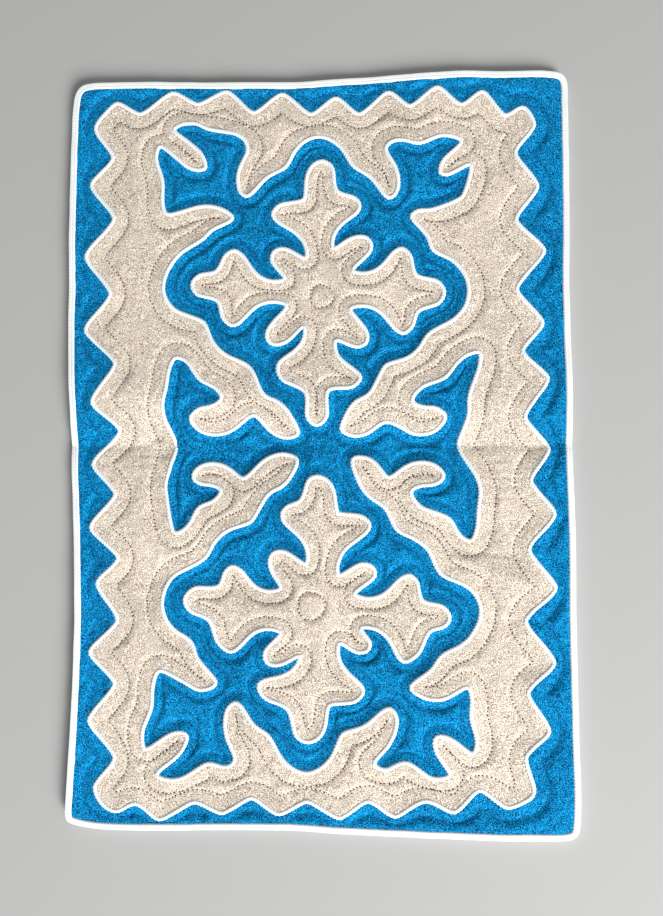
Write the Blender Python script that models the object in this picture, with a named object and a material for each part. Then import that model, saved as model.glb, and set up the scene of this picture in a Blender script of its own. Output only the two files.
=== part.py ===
"""Felt mosaic rug. Two felts are cut along one pattern and swapped, so that blue and beige panels
meet edge to edge. Twisted cord covers each seam and two cords finish the rim. Rows of quilting
run beside the seams as valleys, and each seam lies along the crest between two of them. The rug
lies flat with its underside at z = 0.

Lengths are in millimetres up to the point where a mesh is made, which is in metres.
"""

import math

import bpy
import bmesh
import numpy as np
from mathutils import Vector, kdtree
from mathutils.geometry import delaunay_2d_cdt

MM = 0.001

SEAM_TOP = 7.0  # height of the felt under the cord of a seam
PUFF_TOP = 8.8  # height of the felt beside the cord
QUILT_TOP = 6.8  # height of the felt under a row of quilting
OPEN_TOP = 9.0  # height of the felt away from both
PUFF_OFF = 5.5  # distance of the puff from the seam
QUILT_OFF = 14.0  # distance of the quilting from the seam
OPEN_OFF = 22.0  # distance at which the felt is at its full height again
RIM_TOP = 6.3  # height of the felt at the rug's rim
RIM_SLOPE = 6.5  # distance over which it rises from there
KERF = 0.3  # gap between two panels
SEAT = 0.52  # gap between a cord and the felt below it
CORD_SIDE = 0.38  # height of a seam cord's sides as a share of its own

SEAM_CORD_WIDE = 5.6
SEAM_CORD_TALL = 3.3
EDGE_CORD_WIDE = 4.0
EDGE_TOP_TALL = 3.5
EDGE_SIDE_TALL = 7.4
EDGE_CORD_LOW = 0.9  # height of the outer edge cord over the floor
CORD_LOWEST = 0.4  # and where a trough brings it down
FELT_INSET = 4.45  # from the rug's outline to the felt's own edge

CORNER_EASE = 2.4  # how far a bend in a seam is eased along the seam
SEAM_ERROR = 1.1  # most that a straight facet may stray from a seam
SHARPEST_FACET = 1.2  # most that a seam may turn along one facet, in radians
LONGEST_FACET = 42.0
RIM_FACET = 59.0
RING_SPACING = 22.8  # between points on the felt's relief

NORTH_CENTRE = (0, 186)
SOUTH_CENTRE = (-2, -192)

# Bends of the large ornament, measured from the rug's middle towards the four quarters:
# north-east, north-west, south-east and south-west.
ORNAMENT_BENDS = """
bend        ne_x ne_y  nw_x nw_y  se_x se_y  sw_x sw_y
crown          0  378     0  378   -10  384    10  384
shoulder      44  340    40  341    31  338    57  342
finger_tip    87  300    87  306    86  307    95  304
heel          82  361    86  364    67  371    96  371
saddle       121  366   123  389   103  369   127  376
prong_tip    174  367   179  392   156  382   191  391
notch        148  329   139  342   139  339   155  343
prong_tip    184  339   196  372   182  357   205  361
cheek        174  299   187  286   177  281   189  268
jaw          135  284   143  295   147  295   141  290
finger_tip   113  278   104  279   110  282   120  282
waist        139  236   141  254   146  246   152  233
side         181  184   189  190   192  190   186  185
arm          132  132   139  151   145  149   134  133
elbow         82   96    83   96    95   99    79   90
ankle         60   60    62   60    77   69    55   55
toe           29   20    23   15    42   16    24   16
tooth         83   29    76   38    85   38    89   39
thumb        152   36   154   35   150   37   151   37
hook         113   53   115   57   111   54   116   53
crook        152   81   141   80   156   86   143   74
horn_tip     193  111   173  108   182  112   171  105
flank        180   56   188   54   193   56   183   60
side_waist   168    0   173    0   168    0   173    0
"""

# The stroke from each bend to the next, as steps of (share of the way along, share of that
# length to the left of it). The four quarters use the same strokes.
ORNAMENT_STROKES = """
bend        along aside ...
crown       0.23 +0.12  0.49 +0.14  0.75 +0.08
shoulder    0.25 +0.05  0.50 +0.06  0.75 +0.01
finger_tip  0.13 -0.16  0.35 -0.20  0.58 -0.17  0.79 -0.09
heel        0.28 +0.20  0.65 +0.15
saddle      0.26 +0.05  0.51 +0.15  0.77 +0.14
prong_tip   0.26 -0.04  0.52 -0.10  0.78 -0.11
notch       0.22 -0.11  0.48 -0.09  0.74 -0.02
prong_tip   0.18 +0.07  0.39 +0.03  0.59 +0.01  0.80 +0.04
cheek       0.33 +0.03  0.67 +0.01
jaw         0.51 -0.14
finger_tip  0.33 +0.03  0.67 +0.06
waist       0.19 +0.08  0.40 +0.15  0.61 +0.16  0.82 +0.11
side        0.18 +0.11  0.39 +0.15  0.60 +0.11  0.79 +0.04
arm         0.19 +0.08  0.39 +0.13  0.60 +0.12  0.80 +0.06
elbow       0.33 +0.01  0.67 +0.05
ankle       0.24 -0.11  0.50 -0.14  0.75 -0.09
toe         0.20 -0.17  0.47 -0.19  0.74 -0.10
tooth       0.17 -0.10  0.34 -0.21  0.53 -0.27  0.73 -0.26  0.91 -0.17
thumb       0.33 -0.08  0.67 +0.03
hook        0.31 +0.14  0.66 +0.09
crook       0.34 +0.09  0.69 +0.13
horn_tip    0.23 +0.06  0.49 +0.03  0.74 +0.01
flank       0.25 +0.06  0.50 +0.05  0.75 +0.01
"""

# Bends of the two crosses, measured from the middle of each.
NORTH_BENDS = """
bend      ne_x ne_y  nw_x nw_y  se_x se_y  sw_x sw_y
top          5  162    -5  162     0  161     0  161
neck        23  124    17  114    13  119    14  121
lobe        51  104    55   97    52  105    48   90
prong       19   53    14   41    22   58    16   41
knob        65   54    56   42    60   54    62   52
prong       42   26    39   17    39   21    37   16
hollow     101   52   101   53   103   51   104   39
neck       118   19   124   27   121   24   122    8
end        152   -2   154   12   152    2   154  -12
"""
SOUTH_BENDS = """
bend      ne_x ne_y  nw_x nw_y  se_x se_y  sw_x sw_y
top          3  156    -3  156    -7  156     7  156
neck        27  112    17  127    17  113    32  118
lobe        65   98    40  109    57   97    67   91
prong       28   38    11   51    29   40    18   56
knob        71   40    55   54    65   41    60   55
prong       46   17    41   22    53   23    40   30
hollow     111   40    99   48   105   61   101   53
neck       126   10   116   24   135   25   128   15
end        158   -9   157    9   158    9   157   -9
"""
CROSS_STROKES = """
bend      along aside ...
top       0.21 +0.16  0.48 +0.16  0.74 +0.08
neck      0.26 +0.08  0.52 +0.14  0.78 +0.14
lobe      0.17 +0.00  0.34 -0.07  0.51 -0.13  0.69 -0.15  0.86 -0.11
prong     0.22 +0.11  0.44 +0.24  0.69 +0.30  0.92 +0.23
knob      0.33 +0.06  0.66 +0.02
prong     0.13 -0.12  0.31 -0.18  0.49 -0.17  0.66 -0.10  0.82 -0.02
hollow    0.32 +0.13  0.66 +0.08
neck      0.34 +0.11  0.69 +0.17
"""

# The zigzag between field and border, clockwise from the top left: each outward point and the
# inward point after it. A corner has two outward points, and bulges between them by a distance.
ZIGZAG = """
side    out_x out_y  in_x in_y  bulge
top        -251   428  -221  413      -
top        -180   439  -148  423      -
top        -113   438   -79  410      -
top         -44   433    -8  406      -
top          22   426    50  404      -
top          86   431   112  412      -
top         145   435   174  412      -
top         199   428   226  397      -
top         247   407     -    -    2.5
right       260   385   237  352      -
right       263   310   237  270      -
right       270   232   237  186      -
right       267   145   243  112      -
right       272    79   245   34      -
right       273    -4   251  -41      -
right       278   -80   248 -121      -
right       278  -166   243 -204      -
right       276  -252   245 -286      -
right       269  -330   242 -360      -
right       251  -401     -    -    2.5
bottom      221  -417   189 -398      -
bottom      160  -424   127 -412      -
bottom       92  -431    61 -414      -
bottom       27  -434   -10 -416      -
bottom      -44  -432   -76 -414      -
bottom     -112  -433  -144 -421      -
bottom     -186  -442  -215 -424      -
bottom     -239  -434     -    -    6.3
left       -265  -407  -241 -372      -
left       -273  -328  -242 -284      -
left       -273  -247  -240 -209      -
left       -266  -165  -240 -135      -
left       -275   -98  -245  -58      -
left       -274   -21  -241   20      -
left       -275    54  -247  101      -
left       -286   144  -255  188      -
left       -287   235  -252  282      -
left       -282   325  -255  359      -
left       -278   397     -    -    2.5
"""
FLANK_EASE = 0.20  # share of a flank's depth reached a quarter of the way along it

# The rug's outline, clockwise from the top left. Its sides bow as the cloth was sewn.
OUTLINE = """
side     x     y
top   -285   453.5
top   -235   454
top   -185   452.5
top   -110   449.5
top    -10   447.5
top     25   449
top    100   451.5
top    172   454
top    225   451.5
top    285   449.5
top    294   446.5
right  299   439
right  300   425
right  300.5 350
right  300.5 280
right  298.8 190
right  300.8  60
right  300     0
right  301   -60
right  302  -120
right  301.5 -200
right  302.3 -260
right  303  -350
right  304  -400
right  302.5 -436
right  300  -446
bottom 294  -451
bottom 280  -452.8
bottom 200  -454.5
bottom 120  -454
bottom  40  -452.8
bottom -10  -450.5
bottom -60  -450.8
bottom -110 -452.5
bottom -190 -455
bottom -255 -455.5
bottom -282 -452.5
bottom -296 -448
left  -299.5 -442
left  -298.5 -410
left  -296  -350
left  -293.8 -300
left  -292.3 -220
left  -294  -150
left  -296.5 -100
left  -299   -50
left  -301.5   0
left  -303.5  50
left  -306   100
left  -308   150
left  -308   200
left  -308.8 270
left  -308.5 340
left  -307.5 400
left  -305   434
left  -301.5 445.5
left  -294   452
"""

# Soft folds left in the cloth, troughs where the rise is negative: a point on the fold, its
# direction, how far it runs to each side of the point, its width and its height.
FOLDS = """
fold      x    y  turn  half_run  width  rise
middle    2    2    0     420      24    -3.2
right   217 -149  -18      60      19     1.5
left   -229  123  -34      50      19     1.2
"""

BLUE = (0.0, 0.19, 0.45, 1)
BEIGE = (0.62, 0.48, 0.35, 1)
WHITE = (0.86, 0.87, 0.84, 1)


def rows(table):
    """Rows of a table as (name, numbers). Its first line names the columns."""
    lines = [line.split() for line in table.strip().splitlines()[1:]]
    return [(cells[0], [float(c) for c in cells[1:] if c != "-"]) for cells in lines]


def pairs(numbers):
    return np.array(numbers, float).reshape(-1, 2)


def quarter(bends, strokes, column, east, north):
    """One quarter of a figure: its bends joined by the strokes, from its top to its side."""
    ends = [pairs(numbers)[column] for _, numbers in rows(bends)]
    path = []
    for start, end, (_, steps) in zip(ends, ends[1:], rows(strokes)):
        chord = end - start
        aside = np.array([-chord[1], chord[0]])
        path.append(start)
        path += [start + u * chord + v * aside for u, v in pairs(steps)]
    path.append(ends[-1])
    return np.array(path) * (east, north)


def figure(bends, strokes, centre=(0, 0)):
    """The whole seam of a figure, clockwise from its top."""
    ne, nw, se, sw = (
        quarter(bends, strokes, column, east, north)
        for column, (east, north) in enumerate([(1, 1), (-1, 1), (1, -1), (-1, -1)])
    )
    return np.concatenate([ne, se[::-1][1:], sw[1:], nw[::-1][1:-1]]) + centre


def zigzag():
    """The waves between field and border, with straight flanks and rounded points."""
    turns = []
    for side, numbers in rows(ZIGZAG):
        bulge = numbers.pop() if len(numbers) == 3 else 0
        turns += [(side, point, bulge) for point in pairs(numbers)]
    path = []
    for (side, start, bulge), (_, end, _) in zip(turns, turns[1:] + turns[:1]):
        path.append(start)
        step = end - start
        if bulge:
            out = start + end
            path.append(start + step / 2 + bulge * out / np.linalg.norm(out))
            continue
        deep = np.array([0, 1] if side in ("top", "bottom") else [1, 0])
        for along, depth in ((0.25, FLANK_EASE), (0.75, 1 - FLANK_EASE)):
            path.append(start + step * (along * (1 - deep) + depth * deep))
    return np.array(path)


def outline():
    return np.array([numbers for _, numbers in rows(OUTLINE)])


def through(points, spacing=1.0):
    """A closed centripetal Catmull-Rom curve through points, at even spacing."""
    p = [np.roll(points, k, axis=0) for k in (1, 0, -1, -2)]
    gap = [np.sqrt(np.linalg.norm(b - a, axis=1))[:, None] for a, b in zip(p, p[1:])]
    t0, t1 = np.zeros_like(gap[0]), gap[0]
    t2, t3 = t1 + gap[1], t1 + gap[1] + gap[2]
    curve = []
    for share in np.linspace(0, 1, 24, endpoint=False):
        t = t1 + share * (t2 - t1)
        a1 = ((t1 - t) * p[0] + (t - t0) * p[1]) / (t1 - t0)
        a2 = ((t2 - t) * p[1] + (t - t1) * p[2]) / (t2 - t1)
        a3 = ((t3 - t) * p[2] + (t - t2) * p[3]) / (t3 - t2)
        b1 = ((t2 - t) * a1 + (t - t0) * a2) / (t2 - t0)
        b2 = ((t3 - t) * a2 + (t - t1) * a3) / (t3 - t1)
        curve.append(((t2 - t) * b1 + (t - t1) * b2) / (t2 - t1))
    return even(np.stack(curve, axis=1).reshape(-1, 2), spacing)


def even(loop, spacing):
    closed = np.vstack([loop, loop[:1]])
    run = np.concatenate([[0], np.cumsum(np.linalg.norm(np.diff(closed, axis=0), axis=1))])
    at = np.linspace(0, run[-1], max(8, round(run[-1] / spacing)), endpoint=False)
    return np.stack([np.interp(at, run, closed[:, k]) for k in (0, 1)], axis=-1)


def eased(loop, reach):
    """The loop with its tight bends eased, as a cord lies round them."""
    count = int(3 * reach)
    weights = np.exp(-0.5 * (np.arange(-count, count + 1) / reach) ** 2)
    total = sum(w * np.roll(loop, k, axis=0) for k, w in zip(range(-count, count + 1), weights))
    return even(total / weights.sum(), 1.0)


def facets(loop, error, longest):
    """Indices of the points of a loop that keep straight facets within error of it."""
    count = len(loop)
    anchors = [0, count // 3, 2 * count // 3, count]
    keep = set(anchors[:-1])
    spans = list(zip(anchors, anchors[1:]))
    while spans:
        a, b = spans.pop()
        if b - a < 2:
            continue
        chord = loop[b % count] - loop[a % count]
        off = loop[np.arange(a + 1, b) % count] - loop[a % count]
        far = np.abs(off[:, 0] * chord[1] - off[:, 1] * chord[0]) / np.linalg.norm(chord)
        ends = [loop[(k + 1) % count] - loop[(k - 1) % count] for k in (a, b)]
        turn = abs(np.angle(complex(*ends[1]) / complex(*ends[0])))
        if far.max() > error or (turn > SHARPEST_FACET and b - a > 3):
            split = a + 1 + int(far.argmax())
        elif np.linalg.norm(chord) > longest:
            split = (a + b) // 2
        else:
            continue
        keep.add(split % count)
        spans += [(a, split), (split, b)]
    return sorted(keep)


def shifted(loop, distance):
    """A clockwise loop moved outwards by distance, corners mitred."""
    along = np.roll(loop, -1, axis=0) - loop
    along /= np.linalg.norm(along, axis=1)[:, None]
    out = np.stack([-along[:, 1], along[:, 0]], axis=-1)
    both = out + np.roll(out, 1, axis=0)
    return loop + distance * 2 * both / (both**2).sum(axis=1)[:, None]


def near(loops):
    """A search for the distance to the nearest of some finely spaced loops."""
    points = np.concatenate(loops)
    tree = kdtree.KDTree(len(points))
    for index, (x, y) in enumerate(points):
        tree.insert((x, y, 0), index)
    tree.balance()
    return lambda x, y: tree.find((x, y, 0))[2]


def folds(x, y):
    """Height that the cloth's folds add at a point."""
    rise = 0.0
    for _, (px, py, turn, half_run, width, high) in rows(FOLDS):
        cos, sin = math.cos(math.radians(turn)), math.sin(math.radians(turn))
        along = (x - px) * cos + (y - py) * sin
        across = (y - py) * cos - (x - px) * sin
        rise += high * math.exp(-((across / width) ** 2) - (along / half_run) ** 4)
    return rise


def quilted(distance):
    """Height of the felt at a distance from a seam."""
    return float(
        np.interp(
            distance,
            [0, PUFF_OFF, QUILT_OFF, OPEN_OFF],
            [SEAM_TOP, PUFF_TOP, QUILT_TOP, OPEN_TOP],
        )
    )


def inside(points, loops):
    """Which points lie within the loops, taken together."""
    crossings = np.zeros(len(points), int)
    x, y = points[:, :1], points[:, 1:]
    for loop in loops:
        a, b = loop, np.roll(loop, -1, axis=0)
        spans = (a[:, 1] > y) != (b[:, 1] > y)
        rise = np.where(b[:, 1] == a[:, 1], 1, b[:, 1] - a[:, 1])
        crossings += (spans & (x < a[:, 0] + (y - a[:, 1]) / rise * (b[:, 0] - a[:, 0]))).sum(axis=1)
    return crossings % 2 == 1


def triangles(loops, extra=()):
    """Points and triangles that fill the area within the loops."""
    points = np.concatenate([*loops, np.array(extra).reshape(-1, 2)])
    edges, start = [], 0
    for loop in loops:
        edges += [(start + k, start + (k + 1) % len(loop)) for k in range(len(loop))]
        start += len(loop)
    made, _, faces, *_ = delaunay_2d_cdt([Vector(p) for p in points], edges, [], 0, 1e-7)
    assert len(made) == len(points)
    faces = np.array([face[:] for face in faces])
    return points, faces[inside(points[faces].mean(axis=1), loops)]


def relief_points(loops):
    """Points on the felt's top along the puffs and valleys beside its seams, then a loose grid."""
    kept = []

    def clear(p, least):
        return all((p[0] - q[0]) ** 2 + (p[1] - q[1]) ** 2 > least**2 for q in kept)

    for off, least in ((PUFF_OFF, 11.0), (QUILT_OFF, 10.0), (OPEN_OFF, 12.0)):
        for loop in loops:
            ring = even(loop, RING_SPACING)
            for side in (off, -off):
                for p in shifted(ring, side):
                    if to_seam(*p) > off - 0.6 and to_rim(*p) > RIM_SLOPE - 1 and clear(p, least):
                        kept.append(p)
    low, high = loops[0].min(axis=0), loops[0].max(axis=0)
    step = 1.5 * RING_SPACING
    for row, y in enumerate(np.arange(low[1], high[1], step * 0.87)):
        for x in np.arange(low[0] + step / 2 * (row % 2), high[0], step):
            if to_seam(x, y) > OPEN_OFF + 4 and to_rim(x, y) > RIM_SLOPE and clear((x, y), 19):
                kept.append((x, y))
    kept = np.array(kept)
    return kept[inside(kept, loops)]


def new_object(name, points, faces, felt):
    """An object from points in millimetres about the rug's middle, its faces turned outwards."""
    places = [((x - origin[0]) * MM, (y - origin[1]) * MM, z * MM) for x, y, z in points]
    mesh = bpy.data.meshes.new(name)
    mesh.from_pydata(places, [], [[int(k) for k in face] for face in faces])
    work = bmesh.new()
    work.from_mesh(mesh)
    bmesh.ops.recalc_face_normals(work, faces=work.faces)
    work.to_mesh(mesh)
    work.free()
    mesh.materials.append(felt)
    rug.objects.link(bpy.data.objects.new(name, mesh))


def felt_panel(name, loops, smooth, felt, rim_points=0):
    """A slab of felt within the loops, flat below and quilted on top."""
    edge_points = sum(len(loop) for loop in loops)

    def height(index, x, y):
        if index < rim_points:
            return RIM_TOP + folds(x, y)
        if index < edge_points:
            return SEAM_TOP + folds(x, y)
        from_rim = RIM_TOP + (OPEN_TOP - RIM_TOP) * min(1, to_rim(x, y) / RIM_SLOPE)
        return min(quilted(to_seam(x, y)), from_rim) + folds(x, y)

    upper, upper_faces = triangles(loops, relief_points(smooth))
    lower, lower_faces = triangles(loops)
    points = [(x, y, height(index, x, y)) for index, (x, y) in enumerate(upper)]
    points += [(x, y, 0) for x, y in lower]
    base = len(upper)
    faces = [*upper_faces, *(lower_faces + base)]
    start = 0
    for loop in loops:
        for k in range(len(loop)):
            a, b = start + k, start + (k + 1) % len(loop)
            faces.append([a, b, base + b, base + a])
        start += len(loop)
    new_object(name, points, faces, felt)


def cord(name, line, seat, section):
    """A closed cord along a line. Its section is a list of (distance outwards, height over seat)."""
    rings = [shifted(line, out) for out, _ in section]
    points = []
    for k, (x, y) in enumerate(line):
        base = seat + folds(x, y)
        heights = [max(CORD_LOWEST, base + up) for _, up in section]
        points += [(*ring[k], height) for ring, height in zip(rings, heights)]
    sides, count = len(section), len(line)
    faces = []
    for k in range(count):
        here, there = k * sides, (k + 1) % count * sides
        for a in range(sides):
            b = (a + 1) % sides
            faces.append([here + a, here + b, there + b, there + a])
    new_object(name, points, faces, cord_white)


def dyed(name, colour, rough):
    made = bpy.data.materials.new(name)
    made.use_nodes = True
    shader = made.node_tree.nodes["Principled BSDF"]
    shader.inputs["Base Color"].default_value = colour
    shader.inputs["Roughness"].default_value = rough
    made.diffuse_color = colour
    return made


for old in list(bpy.data.objects):
    bpy.data.objects.remove(old, do_unlink=True)
rug = bpy.data.collections.new("felt_rug")
bpy.context.scene.collection.children.link(rug)

edge_line = even(through(outline()), 1.0)
rim = edge_line[facets(edge_line, SEAM_ERROR, RIM_FACET)]
origin = (rim.min(axis=0) + rim.max(axis=0)) / 2
felt_edge = shifted(edge_line, -FELT_INSET)
felt_rim = shifted(rim, -FELT_INSET)

seams = {
    "zigzag": eased(through(zigzag()), CORNER_EASE),
    "ornament": eased(through(figure(ORNAMENT_BENDS, ORNAMENT_STROKES)), CORNER_EASE),
    "cross_north": eased(through(figure(NORTH_BENDS, CROSS_STROKES, NORTH_CENTRE)), CORNER_EASE),
    "cross_south": eased(through(figure(SOUTH_BENDS, CROSS_STROKES, SOUTH_CENTRE)), CORNER_EASE),
}
lines = {name: loop[facets(loop, SEAM_ERROR, LONGEST_FACET)] for name, loop in seams.items()}
outer = {name: shifted(line, KERF / 2) for name, line in lines.items()}
inner = {name: shifted(line, -KERF / 2) for name, line in lines.items()}
to_seam = near([*seams.values(), *(even(line, 1.0) for line in lines.values())])
to_rim = near([felt_edge])

felt_blue = dyed("felt_blue", BLUE, 0.95)
felt_beige = dyed("felt_beige", BEIGE, 0.95)
cord_white = dyed("cord_white", WHITE, 0.9)

crosses = ("cross_north", "cross_south")
felt_panel(
    "felt_border", [felt_rim, outer["zigzag"]], [felt_edge, seams["zigzag"]], felt_blue, len(felt_rim)
)
felt_panel(
    "felt_field", [inner["zigzag"], outer["ornament"]], [seams["zigzag"], seams["ornament"]], felt_beige
)
felt_panel(
    "felt_ornament",
    [inner["ornament"], *(outer[name] for name in crosses)],
    [seams["ornament"], *(seams[name] for name in crosses)],
    felt_blue,
)
for name in crosses:
    felt_panel("felt_" + name, [inner[name]], [seams[name]], felt_beige)

half, tall = SEAM_CORD_WIDE / 2, SEAM_CORD_TALL
seam_section = [(0, 0), (half, CORD_SIDE * tall), (0, tall), (-half, CORD_SIDE * tall)]
for name, line in lines.items():
    cord("cord_" + name, line, SEAM_TOP + SEAT, seam_section)

half, tall = EDGE_CORD_WIDE / 2, EDGE_SIDE_TALL
side_section = [(0, 0), (half, 0.4 * tall), (0.45 * half, tall), (-0.5 * half, tall), (-half, 0.5 * tall)]
cord("cord_edge_side", shifted(rim, -half), EDGE_CORD_LOW, side_section)
tall, slope = EDGE_TOP_TALL, (OPEN_TOP - RIM_TOP) / RIM_SLOPE
top_section = [
    (0, 0),
    (half, 0.25 * tall),
    (0.35 * half, tall),
    (-0.5 * half, tall),
    (-half, slope * half + 0.25 * tall),
]
cord("cord_edge_top", shifted(felt_rim, 0.1 - half), RIM_TOP + slope * half + SEAT, top_section)
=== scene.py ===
"""Felt mosaic rug. Blue and beige felt is quilted beside its seams, white twisted cord covers the
seams, and two cords finish the rim. Lengths are in millimetres until a mesh is made.
"""

import math

import bpy
import numpy as np
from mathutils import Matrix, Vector, kdtree, noise
from mathutils.geometry import delaunay_2d_cdt


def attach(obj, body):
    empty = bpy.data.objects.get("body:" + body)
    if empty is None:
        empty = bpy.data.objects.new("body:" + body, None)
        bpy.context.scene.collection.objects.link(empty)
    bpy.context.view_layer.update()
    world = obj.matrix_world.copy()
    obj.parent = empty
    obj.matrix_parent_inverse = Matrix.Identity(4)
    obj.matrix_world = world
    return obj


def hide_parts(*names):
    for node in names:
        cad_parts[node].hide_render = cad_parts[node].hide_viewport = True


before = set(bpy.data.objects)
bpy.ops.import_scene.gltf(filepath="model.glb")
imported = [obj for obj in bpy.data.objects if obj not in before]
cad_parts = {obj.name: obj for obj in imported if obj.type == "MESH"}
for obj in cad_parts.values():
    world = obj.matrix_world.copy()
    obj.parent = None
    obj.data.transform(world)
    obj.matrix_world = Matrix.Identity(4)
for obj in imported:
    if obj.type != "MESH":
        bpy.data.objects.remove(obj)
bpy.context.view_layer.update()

MM = 0.001
KERF = 0.3  # gap between two panels
THINNEST = 2.5  # least that folds leave of the felt

# How each panel is quilted: its height at a seam, in a row of quilting and in the open, how far
# from a row it is to the full height and how bent that slope is, how uneven the felt is
# otherwise, and how far from a seam its rows may be.
QUILTED = """
panel             seam  row  open  reach  bend  uneven  off
felt_border        9.2  6.6   9.3    8.0   1.5    1.2   18.5
felt_field         9.1  7.6   9.1    8.0   1.7    0.6   18.5
felt_ornament      9.2  6.3   9.3    7.5   1.6    1.1   12.8
felt_cross_north   9.1  7.5   9.1    7.0   1.7    0.5   15.0
felt_cross_south   9.1  7.5   9.1    7.0   1.7    0.5   15.0
"""
SEAT, SEAT_REACH = 0.7, 4.0  # how far a seam's cord presses into the felt, and how far beside it
LUMP, SMALL_LUMP = 21, 8  # sizes of the felt's own unevenness
EVEN_BESIDE = 5.0  # from a seam or row, how far it takes to reach that unevenness
ROW_SHADE_REACH = 2.8  # how far beside a row the felt is darker, with painted shade in the row's valley
RIM_TOP = 8.9  # height of the felt at its own edge, under the rim's cord
RIM_CORD = 3.5  # how far that cord lies on the felt
RIM_REACH = 7.0  # from there to where the felt may have its full height

# For a row of quilting beside a seam, and for the one in the border: the most room that counts,
# the least that it needs, and how far it wanders.
SEAM_ROOM = (28.0, 6.8, 1.2)
BORDER_ROOM = (36.0, 10.5, 0.7)
TO_RIM = 0.9  # where the border's row runs, as a share of half the way to the rim
EASE = 3.0  # how far a row is eased along its corners
JOIN = 9.0  # largest gap that a row is carried over
ZIGZAG_OFF, ZIGZAG_EASE = 19.5, 7.0  # the row inside the zigzag, which cuts its corners
TIP = 34.0  # largest gap that it is carried over, in the tips of the zigzag
SHORTEST_PART, SHORTEST_ROW, SHORTEST_RING = 4, 12, 60  # a ring is a row that closes
NORTH_CIRCLE = (7.4, 181.9, 14.2)  # quilted circles: centre and radius
SOUTH_CIRCLE = (-4.3, -189.2, 16.4)

STITCH = 4.8  # from one stitch to the next
PIT_RADIUS, PIT_DEPTH = 1.3, 1.6  # the hollow that a stitch pulls into the felt

EDGE_STEP = 2.0  # spacing of the points on a panel's edges
LATTICE = 2.2  # spacing of the points on its top
LATTICE_STRAY = 0.25  # how far those are off a regular lattice
TRIANGULAR = 0.866  # height of a triangle with sides of 1

CORD_STEP, CORD_SIDES = 0.8, 10  # spacing of a cord's rings of points, and the points in each
CORD_LAY = 8.0  # length of one turn of the cord's two plies
CORD_LOWEST = 0.3  # lowest that a cord comes over the floor
CORD_SWAY = 0.25  # how far it strays from its line
DEEP_GROOVE = 0.2  # depth between the plies, as a share of the cord, that takes the full painted shade

# How far the whole rug is uneven, in broad and in smaller waves, and the sizes of those
WAVE, WAVE_SIZE = 1.5, 75
RIPPLE, RIPPLE_SIZE = 0.7, 34
FOLD_SWAY, FOLD_SWAY_SIZE = 3.0, 45  # how far a fold strays from a straight line

# Soft folds, waves and creases left in the cloth: the middle of each, its direction in degrees,
# how far it runs to each side of the middle, how wide it is above and below, how round it is, and
# its height.
FOLDS = """
fold         x     y  turn  half_run  above  below  round  rise
middle       2     1    0     420      27     18    0.05  -4.6
swell        2    56    0     420      36     30    0.80   2.8
swell        2   -62    0     420      30     34    0.80   0.8
upper_left -190    66   -8      95      44     26    0.30   3.0
diagonal  -124   -52   38      66      50     24    0.30  -3.8
south      -85  -166    0      62      55     24    0.30  -4.4
ridge     -190   -92    8      70      36     34    0.50   1.8
right      217  -149  -18      50      22     24    0.10   3.2
shelf      214  -128   -7      42       7      3    0.10  -1.0
left      -229   123  -34      44      22     11    0.10   1.8
lower_left -219  -109 -38      36      20     10    0.10   1.2
lower_left -207  -164   1      50      20     10    0.10  -1.2
left_edge  -301  -270   90     160      20     30    0.30   3.8
arm_low     135  -288   32      50      30     40    0.50   2.2
arm_high    112   380   32      45      26     40    0.50   2.0
hollow     -188    12   65      70      30     46    0.50  -2.2
hollow     -108  -212   30      60      26     42    0.50  -2.0
hollow     -150  -342   10      60      26     34    0.50  -1.6
low_right   226  -339   1      38      20     12    0.10  -1.6
far_right   226  -264   5      36      18     11    0.10  -1.1
wedge       257    -2   6      14       4      7    0.10  -0.9
pinch       191    -1  -5       9       4      6    0.10  -0.7
crease      226   -18   2      30       3.0    2.0  0.10  -0.45
crease      222   -27   0      26       3.0    2.0  0.10  -0.40
crease      228   -37  -2      28       3.0    2.0  0.10  -0.45
crease      224   -47   1      25       3.0    2.0  0.10  -0.35
crease      228   -61  -1      29       3.0    2.0  0.10  -0.40
crease      222   -68   1      24       3.0    2.0  0.10  -0.35
crease     -208   -12   1      31       3.0    2.0  0.10  -0.50
crease     -212   -22  -2      24       3.0    2.0  0.10  -0.35
crease     -206   -37   0      30       3.0    2.0  0.10  -0.45
crease     -208   -60   1      27       3.0    2.0  0.10  -0.35
crease      223  -203   1      25       4.0    3.0  0.10  -0.50
"""


def rows(table):
    """Rows of a table as (name, numbers). Its first line names the columns."""
    lines = [line.split() for line in table.strip().splitlines()[1:]]
    return [(cells[0], [float(c) for c in cells[1:]]) for cells in lines]


# Lines, each an array of points. A closed one doesn't repeat its first point.


def underside_edges(node):
    """The closed edges of a felt solid's underside, clockwise, the longest first."""
    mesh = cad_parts[node].data
    mesh.calc_loop_triangles()
    places = np.empty(len(mesh.vertices) * 3, np.float32)
    mesh.vertices.foreach_get("co", places)
    corners = np.empty(len(mesh.loop_triangles) * 3, np.int32)
    mesh.loop_triangles.foreach_get("vertices", corners)
    points, index = np.unique(np.round(places.reshape(-1, 3) / MM, 2), axis=0, return_inverse=True)
    corners = index.reshape(-1)[corners].reshape(-1, 3)
    on_floor = points[corners][:, :, 2] < 0.02
    under = corners[on_floor.all(axis=1)]
    sides = {(a, b) for face in under.tolist() for a, b in zip(face, face[1:] + face[:1])}
    follows = {a: b for a, b in sides if (b, a) not in sides}
    loops = []
    while follows:
        start, here = follows.popitem()
        loop = [start]
        while here != start:
            loop.append(here)
            here = follows.pop(here)
        loop = points[loop][:, :2]
        loops.append(loop if signed_area(loop) < 0 else loop[::-1])
    return sorted(loops, key=lambda loop: -abs(signed_area(loop)))


def signed_area(loop):
    """Area within a loop, negative where it runs clockwise."""
    x, y = loop.T
    return 0.5 * (x * np.roll(y, -1) - y * np.roll(x, -1)).sum()


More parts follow.
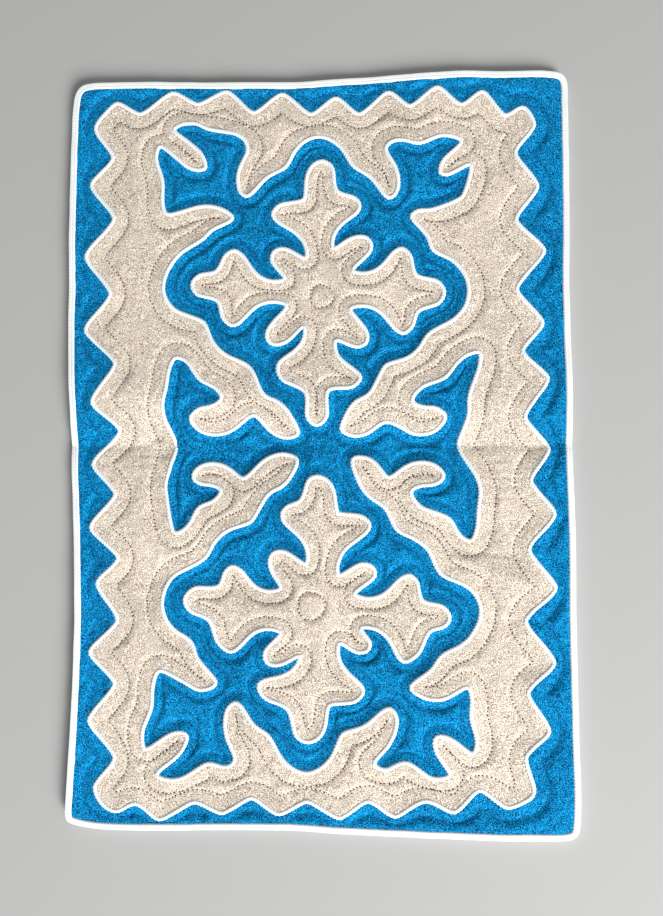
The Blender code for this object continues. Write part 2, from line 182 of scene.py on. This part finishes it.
def through(points, steps=24):
    """A smooth closed curve through all the points, with a point for each millimetre of it."""
    p = [np.roll(points, k, axis=0) for k in (1, 0, -1, -2)]
    span = [np.sqrt(np.linalg.norm(b - a, axis=1))[:, None] for a, b in zip(p, p[1:])]
    t0, t1 = np.zeros_like(span[0]), span[0]
    t2, t3 = t1 + span[1], t1 + span[1] + span[2]
    curve = []
    for share in np.linspace(0, 1, steps, endpoint=False):
        t = t1 + share * (t2 - t1)
        a1 = ((t1 - t) * p[0] + (t - t0) * p[1]) / (t1 - t0)
        a2 = ((t2 - t) * p[1] + (t - t1) * p[2]) / (t2 - t1)
        a3 = ((t3 - t) * p[2] + (t - t2) * p[3]) / (t3 - t2)
        b1 = ((t2 - t) * a1 + (t - t0) * a2) / (t2 - t0)
        b2 = ((t3 - t) * a2 + (t - t1) * a3) / (t3 - t1)
        curve.append(((t2 - t) * b1 + (t - t1) * b2) / (t2 - t1))
    return even(np.stack(curve, axis=1).reshape(-1, 2), 1.0)


def run_of(line):
    """How far along a line each of its points is."""
    return np.concatenate([[0], np.cumsum(np.linalg.norm(np.diff(line, axis=0), axis=1))])


def even(line, spacing, closed=True):
    """The line again, with points at an even spacing."""
    if closed:
        line = np.vstack([line, line[:1]])
    run = run_of(line)
    at = np.linspace(0, run[-1], max(8, round(run[-1] / spacing)), endpoint=not closed)
    return np.stack([np.interp(at, run, line[:, k]) for k in (0, 1)], axis=-1)


def outward(loop):
    """Directions that point out of a clockwise loop."""
    along = np.roll(loop, -1, axis=0) - np.roll(loop, 1, axis=0)
    along /= np.linalg.norm(along, axis=1)[:, None]
    return np.stack([-along[:, 1], along[:, 0]], axis=-1)


def shifted(loop, distance):
    """A clockwise loop moved outwards."""
    return loop + distance * outward(loop)


def smoothed(values, reach, closed=True):
    """Values along a line, each averaged with those within its reach."""
    count = int(3 * reach)
    weights = np.exp(-0.5 * (np.arange(-count, count + 1) / reach) ** 2)
    if not closed:
        values = np.pad(values, [(count, count)] + [(0, 0)] * (values.ndim - 1), mode="edge")
    total = sum(w * np.roll(values, k, axis=0) for k, w in zip(range(-count, count + 1), weights))
    total /= weights.sum()
    return total if closed else total[count:-count]


def circle(x, y, radius):
    """A clockwise circle sewn by hand, so not quite round."""
    turn = np.linspace(0, 2 * math.pi, 90, endpoint=False)
    wobble = radius * (1 + 0.04 * np.sin(3 * turn + x))
    return np.stack([x + wobble * np.cos(turn), y - wobble * np.sin(turn)], axis=-1)


# Points and how they lie to the lines


def search(points):
    """A tree that finds the nearest of its points."""
    tree = kdtree.KDTree(len(points))
    for index, (x, y) in enumerate(points):
        tree.insert((x, y, 0), index)
    tree.balance()
    return tree


def nearest(tree, points):
    """For each point, which of the tree's points is nearest, and its distance."""
    found = [tree.find((x, y, 0))[1:] for x, y in points]
    index, distance = zip(*found)
    return np.array(index), np.array(distance)


def distances(tree, points):
    """How far each point is from the nearest of the tree's points."""
    return nearest(tree, points)[1]


def inside(points, loops):
    """Which points lie within the loops, taken together."""
    crossings = np.zeros(len(points), int)
    for loop in loops:
        for a, b in zip(loop, np.roll(loop, -1, axis=0)):
            spans = (a[1] > points[:, 1]) != (b[1] > points[:, 1])
            x = a[0] + (points[spans, 1] - a[1]) / (b[1] - a[1]) * (b[0] - a[0])
            crossings[spans] += points[spans, 0] < x
    return crossings % 2 == 1


def uneven(points, size, seed):
    """Soft unevenness between -1 and 1, with features of one size."""
    return np.array([noise.noise((x / size, y / size, seed)) for x, y in points])


def folds(points):
    """Height that the cloth's waves and folds add at points."""
    height = WAVE * uneven(points, WAVE_SIZE, 3.3) + RIPPLE * uneven(points, RIPPLE_SIZE, 6.1)
    sway = FOLD_SWAY * uneven(points, FOLD_SWAY_SIZE, 7.7)
    for _, (px, py, turn, half_run, above, below, soft, high) in rows(FOLDS):
        cos, sin = math.cos(math.radians(turn)), math.sin(math.radians(turn))
        along = (points[:, 0] - px) * cos + (points[:, 1] - py) * sin
        across = (points[:, 1] - py) * cos - (points[:, 0] - px) * sin + sway
        width = np.where(across > 0, above, below)
        slack = np.sqrt((across / width) ** 2 + soft**2) - soft
        height += high * np.exp(-slack * (1 + slack / 2) - (along / half_run) ** 4)
    return height


# Rows of quilting


def room_beside(loop, out, facing, most):
    """How far out from each point of a seam it is to where a line that it faces is as near."""
    room = np.full(len(loop), most)
    free = np.full(len(loop), True)
    for reach in np.arange(4, most, 1.0):
        picks = np.flatnonzero(free)
        if not len(picks):
            break
        hit = picks[distances(facing, loop[picks] + reach * out[picks]) < reach - 0.45]
        room[hit], free[hit] = reach, False
    return smoothed(room, 2.5)


def gap(run, following):
    """How far it is from the end of one run to the start of the next."""
    return np.linalg.norm(run[-1] - following[0])


def kept_runs(line, keep, join):
    """The runs of a closed line that are kept, carried over the gaps shorter than join."""
    first = int(np.flatnonzero(~keep)[0])
    line, keep = np.roll(line, -first, axis=0), np.roll(keep, -first)
    ends = np.flatnonzero(np.diff([0, *keep.astype(int), 0]))
    found = [line[a:b] for a, b in zip(ends[::2], ends[1::2]) if b - a > SHORTEST_PART]
    runs = found[:1]
    for run in found[1:]:
        if gap(runs[-1], run) < join:
            runs[-1] = np.vstack([runs[-1], run])
        else:
            runs.append(run)
    if len(runs) > 1 and gap(runs[-1], runs[0]) < join:
        runs[0] = np.vstack([runs.pop(), runs[0]])
    return runs


def quilting_rows(loop, side, edges, facing, most, ease, join=JOIN, share=None):
    """Rows of quilting that follow a seam on one side, and part where the felt is too narrow.

    They come nearer to the seam where the felt narrows towards the lines that it is facing. With
    a share, they keep to that share of the room instead.
    """
    out = outward(loop) * side
    room_most, room_least, wander = BORDER_ROOM if share else SEAM_ROOM
    room = room_beside(loop, out, facing, room_most)
    narrowing = np.abs(smoothed(np.roll(room, -1) - np.roll(room, 1), 2.5)) / 2
    if share:
        off = np.minimum(share * room, most)
    else:  # in the middle of narrow felt, and at the most in wide felt
        off = np.interp(room, [6, 10, 16, room_most], [6.3, 9.2, 0.4 * most + 7, most])
    off = smoothed(off, 3.5) + wander * uneven(loop, 38, side + 5.3)
    line = loop + off[:, None] * out
    wide_enough = room > room_least + 6 * np.minimum(narrowing, 1)
    keep = wide_enough & (distances(edges, line) > 0.88 * off)
    if keep.all():
        return [smoothed(even(line, 1.0), ease)]
    eased = []
    for run in kept_runs(line, keep, join):
        closed = gap(run, run) < join and len(run) > SHORTEST_RING
        run = even(run, 1.0, closed)
        if len(run) > SHORTEST_ROW:
            eased.append(smoothed(run, ease if closed else min(ease, len(run) / 6), closed))
    return eased


def stitch_places(quilting, chance):
    """Where the needle went down, a stitch apart along each row."""
    places = []
    for line in quilting:
        run = run_of(line)
        at = 1.5
        while at < run[-1] - 1:
            places.append([np.interp(at, run, line[:, k]) + chance.normal(0, 0.25) for k in (0, 1)])
            at += STITCH * chance.uniform(0.8, 1.25)
    return np.array(places).reshape(-1, 2)


# Meshes


def new_piece(name, points, faces, finish, smooth_angle):
    """A piece from points in millimetres, smooth all over or up to an angle in degrees."""
    mesh = bpy.data.meshes.new(name)
    mesh.from_pydata((np.asarray(points) * MM).tolist(), [], faces)
    mesh.update()
    mesh.materials.append(finish)
    piece = bpy.data.objects.new(name, mesh)
    bpy.context.scene.collection.objects.link(piece)
    bpy.ops.object.select_all(action="DESELECT")
    piece.select_set(True)
    bpy.context.view_layer.objects.active = piece
    if smooth_angle is None:
        bpy.ops.object.shade_smooth()
    else:
        bpy.ops.object.shade_smooth_by_angle(angle=math.radians(smooth_angle))
    return piece


def mark(piece, name, values):
    """Give each point of a piece a value, which its material reads."""
    attribute = piece.data.attributes.new(name, "FLOAT", "POINT")
    attribute.data.foreach_set("value", values.ravel().astype(np.float32))


def filled(points, borders, loops):
    """Triangles, counter-clockwise, that fill the area within the loops."""
    made, _, faces, *_ = delaunay_2d_cdt([Vector(p) for p in points], borders, [], 0, 1e-7)
    assert len(made) == len(points)
    faces = np.array([face[:] for face in faces])
    middle = points[faces].mean(axis=1)
    faces = faces[inside(middle, loops)]
    a, b, c = (points[faces[:, k]] for k in range(3))
    ab, ac = b - a, c - a
    flip = ab[:, 0] * ac[:, 1] - ab[:, 1] * ac[:, 0] < 0
    faces[flip] = faces[flip][:, ::-1]
    return faces.tolist()


def rise(distance, reach, bend):
    """Share of its height that the felt has at a distance from the line that draws it down."""
    return 1 - (1 - np.clip(distance / reach, 0, 1)) ** bend


def top_points(loops, edges, quilting, row_tree, pits, pit_tree, chance):
    """Points on a panel's top: a lattice, and closer ones in its stitches and quilting.

    The lattice keeps clear of the closer ones, so that no triangle is a sliver.
    """
    low, high = loops[0].min(axis=0), loops[0].max(axis=0)
    lattice = []
    for row, y in enumerate(np.arange(low[1], high[1], LATTICE * TRIANGULAR)):
        x = np.arange(low[0] + LATTICE / 2 * (row % 2), high[0], LATTICE)
        lattice.append(np.stack([x, np.full_like(x, y)], axis=-1))
    lattice = np.concatenate(lattice)
    lattice += chance.uniform(-LATTICE_STRAY, LATTICE_STRAY, lattice.shape)
    lattice = lattice[inside(lattice, loops)]
    lattice = lattice[distances(edges, lattice) > 1.5]
    if pit_tree:
        around = np.linspace(0, 2 * math.pi, 6, endpoint=False)
        ring = PIT_RADIUS * np.stack([np.cos(around), np.sin(around)], axis=-1)
        lattice = lattice[distances(pit_tree, lattice) > PIT_RADIUS + 0.9]
        between = np.concatenate(quilting)
        between = between[distances(pit_tree, between) > PIT_RADIUS + 0.6]
        points = np.concatenate([lattice, pits, (pits[:, None] + ring).reshape(-1, 2), between])
    else:
        lattice = lattice[distances(row_tree, lattice) > 1.2]
        points = np.concatenate([lattice] + [row[::2] for row in quilting])
    return points[distances(edges, points) > 1.0]


def top_heights(node, upper, seams, rim, row_points, row_tree):
    """Heights of the points on a panel's top, and how much painted shade each gets from the valley
    of a row of quilting.
    """
    seam, low_row, high_open, reach, bend, rough, most = dict(rows(QUILTED))[node]
    to_edge = distances(seams, upper)
    own_row, to_row = nearest(row_tree, upper)
    row_off = np.minimum(distances(seams, row_points), 1.25 * most)[own_row]
    beside = np.clip((row_off - to_edge) / 3 + 0.5, 0, 1)  # 1 between a row and its seam
    z = low_row + beside * (seam - low_row) * to_row / (to_row + to_edge + 0.01)
    z += (1 - beside) * (high_open - low_row) * rise(to_row, reach, bend)
    z -= SEAT * (1 - rise(to_edge, SEAT_REACH, 2.0))
    free = np.clip(np.minimum(to_edge, to_row) / EVEN_BESIDE, 0, 1)
    z += rough * free * (uneven(upper, LUMP, 1.7) + 0.8 * uneven(upper, SMALL_LUMP, 4.1))
    if rim:
        near_rim = rise(distances(rim, upper) - RIM_CORD, RIM_REACH, 2.0)
        z = np.minimum(z, RIM_TOP + (high_open + rough - RIM_TOP) * near_rim)
    # painted shade in the valley beside each row of quilting
    pressed = 1 - np.clip(to_row / ROW_SHADE_REACH, 0, 1)
    return np.maximum(z + folds(upper), THINNEST), pressed


def felt_panel(node, finish, pitted, circles=()):
    """A felt panel with its quilting, from the edges of its solid's underside.

    Where it is pitted, each stitch pulls a hollow into the felt, coloured dark for its thread and
    with painted shade in the hollow.
    """
    chance = np.random.default_rng(sum(map(ord, node)))
    loops = [even(through(loop), EDGE_STEP) for loop in underside_edges(node)]
    sides = [-1] + [1] * (len(loops) - 1)  # the felt is within the first loop and round the others
    fine = [even(loop, 1.0) for loop in loops]
    edges = search(np.concatenate(fine))
    rim = search(fine[0]) if node == "felt_border" else None
    seams = search(fine[1]) if rim else edges

    most = dict(rows(QUILTED))[node][-1]
    quilting = [circle(*place) for place in circles]
    for loop, side in zip(fine, sides):
        if rim and side == 1:
            quilting += quilting_rows(loop, side, seams, rim, most, EASE, share=TO_RIM)
        elif node == "felt_field" and side == -1:
            facing = search(fine[1])
            quilting += quilting_rows(loop, side, edges, facing, ZIGZAG_OFF, ZIGZAG_EASE, TIP)
        elif not rim:
            quilting += quilting_rows(loop, side, edges, edges, most, EASE)
    row_points = np.concatenate(quilting)
    row_tree = search(row_points)
    pits = stitch_places(quilting, chance)
    pit_tree = search(pits) if pitted else None

    edge_points = np.concatenate(loops)
    extra = top_points(loops, edges, quilting, row_tree, pits, pit_tree, chance)
    upper = np.concatenate([edge_points, extra])
    rings, start = [], 0
    for loop in loops:
        rings.append([(start + k, start + (k + 1) % len(loop)) for k in range(len(loop))])
        start += len(loop)
    borders = [pair for pairs in rings for pair in pairs]

    z, pressed = top_heights(node, upper, seams, rim, row_points, row_tree)
    stitch = np.zeros(len(upper))
    if pitted:
        own_pit, to_pit = nearest(pit_tree, upper)
        pull = chance.uniform(0.6, 1.0, len(pits))[own_pit]
        stitch = pull * np.clip(1 - to_pit / PIT_RADIUS, 0, 1)
        z -= PIT_DEPTH * stitch

    base, on_floor = len(upper), np.zeros(len(edge_points))
    top = np.column_stack([upper, z])
    bottom = np.column_stack([edge_points, on_floor])
    faces = filled(upper, borders, loops)
    faces += [[base + k for k in face[::-1]] for face in filled(edge_points, borders, loops)]
    for pairs, side in zip(rings, sides):
        faces += [[a, base + a, base + b, b][::side] for a, b in pairs]
    name = node.replace("felt", "cloth")
    panel = new_piece(name, np.concatenate([top, bottom]), faces, finish, smooth_angle=50)
    # painted shade in the valleys of the rows
    mark(panel, "pressed", np.concatenate([pressed, on_floor]))
    mark(panel, "stitch", np.concatenate([stitch, on_floor]))

    size = (loops[0].max(axis=0) - loops[0].min(axis=0)) * MM
    areas = [abs(signed_area(loop)) for loop in loops]
    area = (areas[0] - sum(areas[1:])) * MM**2
    # A ring's area, taken as no less than this share of its length times its width, is worked out
    # here but not used.
    max(area, 0.301 * size[0] * size[1])
    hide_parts(node)
    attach(panel, "root")


def twisted_cord(name, loop, base, wide, tall, lobed, bulge=1.0):
    """A closed cord of two plies along a loop: a two-lobed section that turns as it goes.

    Its section is an ellipse where the bulge is 1, and flatter on top where it is less.
    """
    line = even(loop, CORD_STEP)
    out = outward(line)
    count = len(line)
    run = np.arange(count + 1) * (run_of(np.vstack([line, line[:1]]))[-1] / count)
    turns = max(1, round(run[-1] / CORD_LAY * 2)) / 2
    twist = 2 * math.pi * turns * run / run[-1]
    angle = np.linspace(0, 2 * math.pi, CORD_SIDES, endpoint=False)
    lobes = 1 - lobed * (1 - np.cos(2 * (angle[None] - twist[:count, None])))
    across = wide / 2 * lobes * np.cos(angle)
    up = tall / 2 * lobes * np.sign(np.sin(angle)) * np.abs(np.sin(angle)) ** bulge
    sway = CORD_SWAY * uneven(line, 30, 9.1)[:, None]
    places = line[:, None] + out[:, None] * (across + sway)[:, :, None]
    z = np.maximum((base + folds(line))[:, None] + up, CORD_LOWEST)
    points = np.concatenate([places, z[:, :, None]], axis=2).reshape(-1, 3)
    faces, wraps = [], []
    for k in range(count):
        here, there = k * CORD_SIDES, (k + 1) % count * CORD_SIDES
        for s in range(CORD_SIDES):
            t = (s + 1) % CORD_SIDES
            faces.append([here + s, there + s, there + t, here + t])
            low, high = s / CORD_SIDES, (s + 1) / CORD_SIDES
            wraps += [(run[k], low), (run[k + 1], low), (run[k + 1], high), (run[k], high)]
    smooth_angle = None if bulge == 1.0 else 40  # a flattened cord keeps its two edges
    cord = new_piece("braid_" + name, points, faces, cord_white, smooth_angle)
    layer = cord.data.uv_layers.new(name="along")
    layer.data.foreach_set("uv", (np.array(wraps) * (MM, 1)).ravel().astype(np.float32))
    # painted shade between the cord's plies, fuller the deeper the groove
    mark(cord, "groove", (1 - lobes) / DEEP_GROOVE)
    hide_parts("cord_" + name)
    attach(cord, "root")


# Finishes


class Wire:
    """An output of a node, which can be added, multiplied and so on."""

    def __init__(self, finish, socket):
        self.finish, self.socket = finish, socket

    def math(self, operation, *values):
        return self.finish.add("Math", {"operation": operation}, dict(enumerate(values)))

    def __add__(self, other):
        return self.math("ADD", self, other)

    def __sub__(self, other):
        return self.math("SUBTRACT", self, other)

    def __rsub__(self, other):
        return self.math("SUBTRACT", other, self)

    def __mul__(self, other):
        return self.math("MULTIPLY", self, other)

    __radd__, __rmul__ = __add__, __mul__


class Finish:
    """A material, built up node by node."""

    def __init__(self, name, **constants):
        self.material = bpy.data.materials.new(name)
        self.material.use_nodes = True
        self.shader = self.material.node_tree.nodes["Principled BSDF"]
        for socket, value in constants.items():
            self.shader.inputs[socket.replace("_", " ")].default_value = value

    def add(self, kind, settings, values, output=0):
        """A node with its settings, then the values or wires of its sockets."""
        node = self.material.node_tree.nodes.new("ShaderNode" + kind)
        for name, value in settings.items():
            if name == "stops":
                ramp = node.color_ramp.elements
                while len(ramp) < len(value):
                    ramp.new(0.5)
                for stop, (place, colour) in zip(ramp, value):
                    stop.position, stop.color = place, (*colour, 1)
            else:
                setattr(node, name, value)
        for socket, value in values.items():
            self.set(node.inputs[socket], value)
        return Wire(self, node.outputs[output])

    def set(self, socket, value):
        if isinstance(value, Wire):
            self.material.node_tree.links.new(value.socket, socket)
        else:
            socket.default_value = value

    def place(self):
        """Where a point is on the object."""
        return self.add("TexCoord", {}, {}, output="Object")

    def marked(self, name):
        """The values that a piece is marked with."""
        return self.add("Attribute", {"attribute_name": name}, {}, output="Fac")

    def noise(self, place, size, detail=2.0, rough=0.5, stretch=None, turn=0.0):
        """Noise between 0 and 1 with features of a size in millimetres."""
        if stretch:
            values = {"Vector": place, "Rotation": (0, 0, math.radians(turn)), "Scale": stretch}
            place = self.add("Mapping", {}, values)
        values = {"Vector": place, "Scale": 1 / (size * MM), "Detail": detail, "Roughness": rough}
        return self.add("TexNoise", {"noise_dimensions": "3D"}, values)

    def mix(self, factor, a, b, blend="MIX"):
        """Colour a turned to colour b by a factor. The node's colour sockets are 6, 7 and 2."""
        node = {"data_type": "RGBA", "blend_type": blend, "clamp_factor": True}
        return self.add("Mix", node, {"Factor": factor, 6: a, 7: b}, output=2)

    def finish(self, colour, height, depth):
        """Colour and relief go to the shader."""
        self.set(self.shader.inputs["Base Color"], colour)
        bump = self.add("Bump", {}, {"Height": height, "Distance": depth * MM, "Strength": 1.0})
        self.set(self.shader.inputs["Normal"], bump)
        return self.material


def felt(name, dark, middle, light, loose, tint, pit, shade, speck, sheen):
    """Dyed wool felt: cloudy dye, matted fibres in all directions, and painted shade in the valleys
    of its quilting rows.
    """
    wool = Finish(
        name,
        Roughness=1.0,
        Sheen_Weight=0.02,
        Sheen_Roughness=0.7,
        Sheen_Tint=sheen,
        Specular_IOR_Level=0.03,
    )
    place = wool.place()
    cloud = wool.noise(place, 55, 2.0)
    blotch = wool.noise(place, 7, 4.0, 0.65)
    grain = wool.noise(place, 1.0, 0.0)
    lint = wool.noise(place, 1.3, 2.0, 0.7)
    fibres = wool.noise(place, 2.2, 3.0, 0.6, stretch=(1, 3.5, 1), turn=4)
    crossing = wool.noise(place, 2.0, 3.0, 0.6, stretch=(5, 1, 1), turn=-20)
    matted = fibres * 0.65 + crossing * 0.35

    clouds, blotches, specks, mats = 0.5, 0.45, 2.6 * speck, 0.3
    centred = 0.5 - 0.5 * (clouds + blotches + specks + mats)
    tone = cloud * clouds + blotch * blotches + grain * specks + matted * mats + centred
    stops = [(0.15, dark), (0.5, middle), (0.85, light)]
    colour = wool.add("ValToRGB", {"stops": stops}, {"Fac": tone})
    colour = wool.mix(cloud * 1.4 - 0.45, colour, tint, blend="MULTIPLY")
    colour = wool.mix(lint * 6 - 3.5, colour, (*loose, 1))
    # painted shade in the valleys of the rows of quilting; in the blue felt it also stands for the
    # dark thread in them
    colour = wool.mix(wool.marked("pressed") * shade, colour, (*dark, 1))
    # each stitch's pit is dark for its thread, with painted shade in the hollow
    colour = wool.mix(wool.marked("stitch") * 2.6, colour, (*pit, 1))
    height = matted * 0.35 + grain * 0.5 + blotch * 0.5
    return wool.finish(colour, height, 0.8)


def wool_cord(name, light, shade, between):
    """Twisted white wool: fine yarns along the plies, and a cool painted shade between them."""
    wool = Finish(
        name, Roughness=0.85, Sheen_Weight=0.3, Sheen_Roughness=0.5, Specular_IOR_Level=0.25
    )
    along = wool.add("UVMap", {"uv_map": "along"}, {})
    turned = {"Vector": along, "Rotation": (0, 0, 0.003), "Scale": (1, 0.004, 1)}
    along = wool.add("Mapping", {}, turned)
    bands = {"wave_type": "BANDS", "bands_direction": "X"}
    values = {"Vector": along, "Scale": 110, "Distortion": 1.5, "Detail": 2.0}
    yarns = wool.add("TexWave", bands, values)
    spot = wool.noise(wool.place(), 3.0, 3.0, 0.6)
    colour = wool.mix(yarns * 0.2 + spot * 0.8, (*shade, 1), (*light, 1))
    groove = wool.marked("groove")
    # painted shade between the plies, in a cool grey
    colour = wool.mix(groove * groove * 0.45, colour, (*between, 1))
    return wool.finish(colour, yarns * 0.2 + spot * 0.7, 0.5)


def soft_light(name, place, aim, size, power):
    """A square area light that points at its aim. Here lengths are in metres."""
    bpy.ops.object.light_add(type="AREA", location=place)
    light = bpy.context.object
    light.name = name
    light.data.shape, light.data.size, light.data.energy = "SQUARE", size, power
    light.rotation_euler = (Vector(aim) - Vector(place)).to_track_quat("-Z", "Y").to_euler()


bpy.ops.object.select_all(action="DESELECT")

bpy.ops.object.camera_add(
    location=(0.0710, -0.0516, 0.8413), rotation=[math.radians(a) for a in (2.602, 3.516, 0.092)]
)
camera = bpy.context.object
camera.data.lens = 27.51
camera.data.sensor_width = 36
bpy.context.scene.camera = camera

felt_blue = felt(
    "felt_blue",
    dark=(0.0, 0.035, 0.11),
    middle=(0.0, 0.108, 0.282),
    light=(0.005, 0.4, 0.84),
    loose=(0.1, 0.42, 0.7),
    tint=(0.9, 0.9, 0.92, 1),
    pit=(0.0, 0.05, 0.14),
    shade=0.38,
    speck=1.35,
    sheen=(0.1, 0.5, 0.9, 1),
)
felt_beige = felt(
    "felt_beige",
    dark=(0.3, 0.235, 0.18),
    middle=(0.625, 0.52, 0.43),
    light=(0.93, 0.87, 0.75),
    loose=(0.85, 0.8, 0.72),
    tint=(1, 0.94, 0.91, 1),
    pit=(0.05, 0.03, 0.025),
    shade=0.08,
    speck=1.2,
    sheen=(1, 1, 1, 1),
)
# between: the colour of the painted shade between the cord's plies
cord_white = wool_cord(
    "cord_white", light=(0.86, 0.89, 0.88), shade=(0.72, 0.77, 0.77), between=(0.5, 0.6, 0.65)
)

felt_panel("felt_border", felt_blue, pitted=False)
felt_panel("felt_field", felt_beige, pitted=True)
felt_panel("felt_ornament", felt_blue, pitted=False)
felt_panel("felt_cross_north", felt_beige, pitted=True, circles=[NORTH_CIRCLE])
felt_panel("felt_cross_south", felt_beige, pitted=True, circles=[SOUTH_CIRCLE])

within_seam = {
    "zigzag": "felt_field",
    "ornament": "felt_ornament",
    "cross_north": "felt_cross_north",
    "cross_south": "felt_cross_south",
}
for name, panel in within_seam.items():
    centre = shifted(through(underside_edges(panel)[0]), KERF / 2)
    twisted_cord(name, centre, base=8.4, wide=5.8, tall=3.2, lobed=0.1)
rim = through(underside_edges("felt_border")[0])
twisted_cord("edge_top", shifted(rim, -1.3), base=8.3, wide=5.4, tall=3.6, lobed=0.05)
twisted_cord("edge_side", shifted(rim, 1.7), base=5.3, wide=5.6, tall=9.4, lobed=0.01, bulge=0.12)

bpy.ops.mesh.primitive_plane_add(size=12, location=(0, 0, -0.0004))
floor = bpy.context.object
floor.name = "floor"
grey = (0.42, 0.42, 0.415, 1)
pale = Finish("floor_pale", Base_Color=grey, Roughness=0.9, Specular_IOR_Level=0.1)
floor.data.materials.append(pale.material)

world = bpy.data.worlds.new("studio")
bpy.context.scene.world = world
world.use_nodes = True
sky = world.node_tree.nodes["Background"]
sky.inputs["Color"].default_value = (1, 1, 1, 1)
sky.inputs["Strength"].default_value = 0.37

soft_light("window", place=(3.05, -4.85, 3.05), aim=(0, 0, 0), size=2.75, power=745)
soft_light("fill", place=(1.2, -0.8, 0.9), aim=(0.15, -0.3, 0), size=0.7, power=5)

bpy.context.scene.view_settings.view_transform = "Standard"
